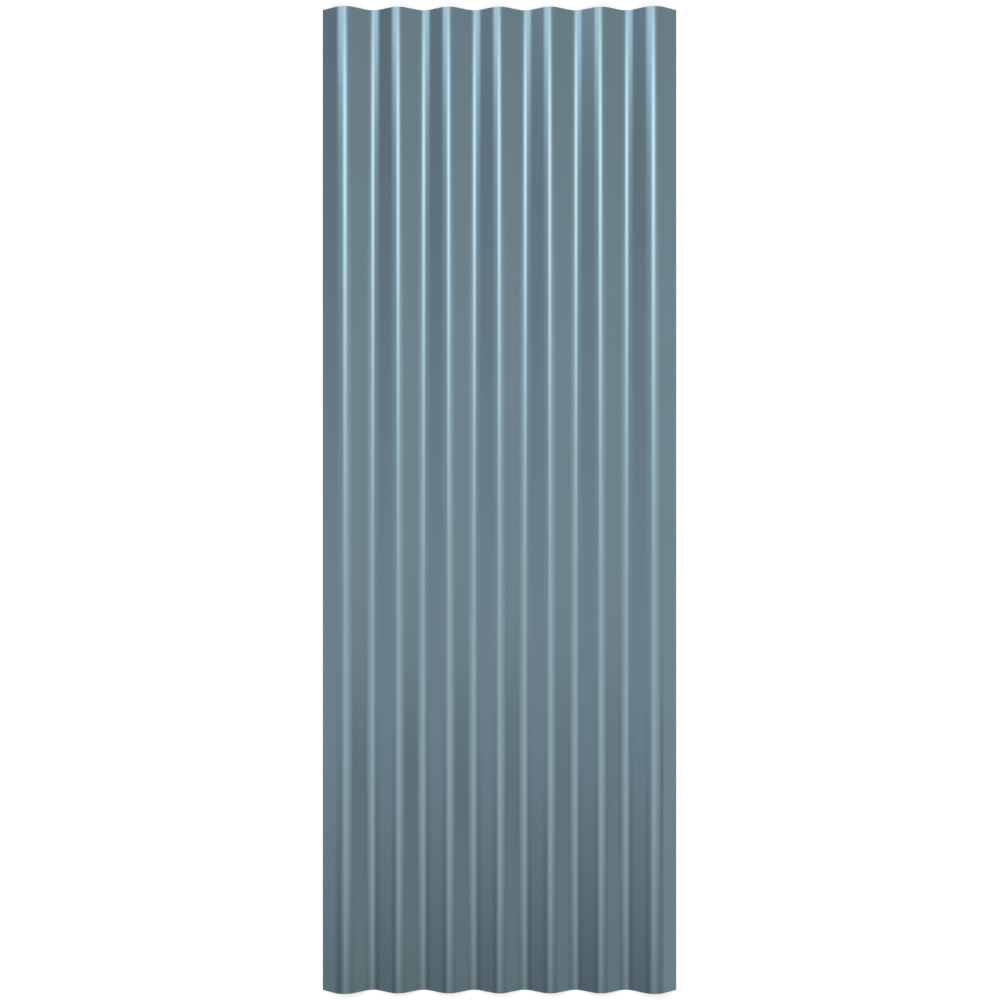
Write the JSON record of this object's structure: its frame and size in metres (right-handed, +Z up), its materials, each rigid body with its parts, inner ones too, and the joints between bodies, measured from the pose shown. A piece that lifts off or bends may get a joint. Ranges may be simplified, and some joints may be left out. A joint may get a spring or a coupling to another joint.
{
  "type": "corrugated metal sheet",
  "caption": "Long rectangular steel sheet rolled into parallel round corrugations, with a taller side-lap corrugation along each long edge, for roofing, walls and fences.",
  "frame": {"origin": "below the middle of the sheet, on the plane that its valleys and long edges rest on", "axes": "+X across the corrugations, +Y along them, +Z up out of the weather side"},
  "size_m": [0.6604, 1.83, 0.0218],
  "materials": {
    "coated_steel": "satin"
  },
  "bodies": {
    "root": {"corrugated_sheet": "coated_steel"}
  },
  "joints": []
}
